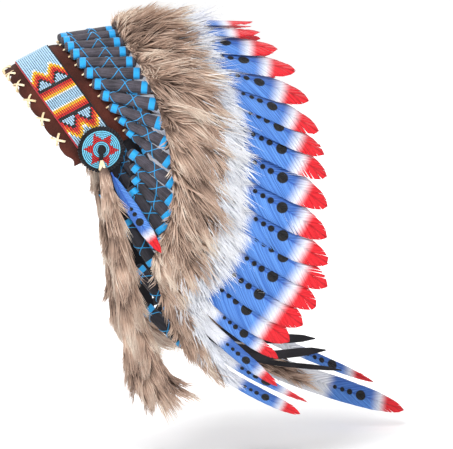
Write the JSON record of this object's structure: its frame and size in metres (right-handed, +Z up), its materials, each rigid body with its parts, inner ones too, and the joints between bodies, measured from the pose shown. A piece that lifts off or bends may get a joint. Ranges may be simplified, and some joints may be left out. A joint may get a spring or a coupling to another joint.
{
  "type": "feathered headdress",
  "caption": "Feathered headdress: a suede band with beaded brow strip and ear rosettes, a row of long dyed feathers with wrapped bases, a fur trim and fur drops.",
  "frame": {"origin": "middle of the head opening, halfway between the ears, where the head holds the band", "axes": "+Z up, the wearer faces -X, the wearer's left is -Y"},
  "size_m": [0.4955, 0.3292, 0.5065],
  "materials": {
    "brown_suede": "napped suede",
    "black_suede": "napped suede",
    "beadwork": "opaque glossy seed beads in a stepped pattern",
    "feather": "dyed feather, white at the base, blue with black spots, red at the tip, on a suede wrap",
    "fur": "long soft taupe fur"
  },
  "bodies": {
    "root": {"headband": "brown_suede", "brow_band": "beadwork", "rosette_left": "beadwork", "rosette_right": "beadwork", "rosette_thong_left": "black_suede", "rosette_thong_right": "black_suede", "fur_drop_left": "fur", "fur_drop_right": "fur", "side_feather_left": "feather", "side_feather_right": "feather", "side_strip_left": "black_suede", "side_strip_right": "black_suede", "cross_tie_upper": "black_suede", "cross_tie_lower": "black_suede", "tie_strip_1": "black_suede", "tie_strip_2": "black_suede", "tie_strip_3": "black_suede", "tie_strip_4": "black_suede", "fur_trim_left": "fur", "fur_trim_right": "fur", "fur_tail_right": "fur", "feather_centre": "feather", "feather_left_01": "feather", "feather_right_01": "feather", "feather_left_02": "feather", "feather_right_02": "feather", "feather_left_03": "feather", "feather_right_03": "feather", "feather_left_04": "feather", "feather_right_04": "feather", "feather_left_05": "feather", "feather_right_05": "feather", "feather_left_06": "feather", "feather_right_06": "feather", "feather_left_07": "feather", "feather_right_07": "feather", "feather_left_08": "feather", "feather_right_08": "feather", "feather_left_09": "feather", "feather_right_09": "feather", "feather_left_10": "feather", "feather_right_10": "feather", "feather_left_11": "feather", "feather_right_11": "feather", "feather_left_12": "feather", "feather_right_12": "feather", "feather_left_13": "feather", "feather_right_13": "feather", "feather_left_14": "feather", "feather_right_14": "feather", "feather_left_15": "feather", "feather_right_15": "feather", "feather_left_16": "feather", "feather_right_16": "feather", "feather_left_17": "feather", "feather_right_17": "feather", "feather_left_18": "feather", "feather_right_18": "feather"}
  },
  "joints": []
}
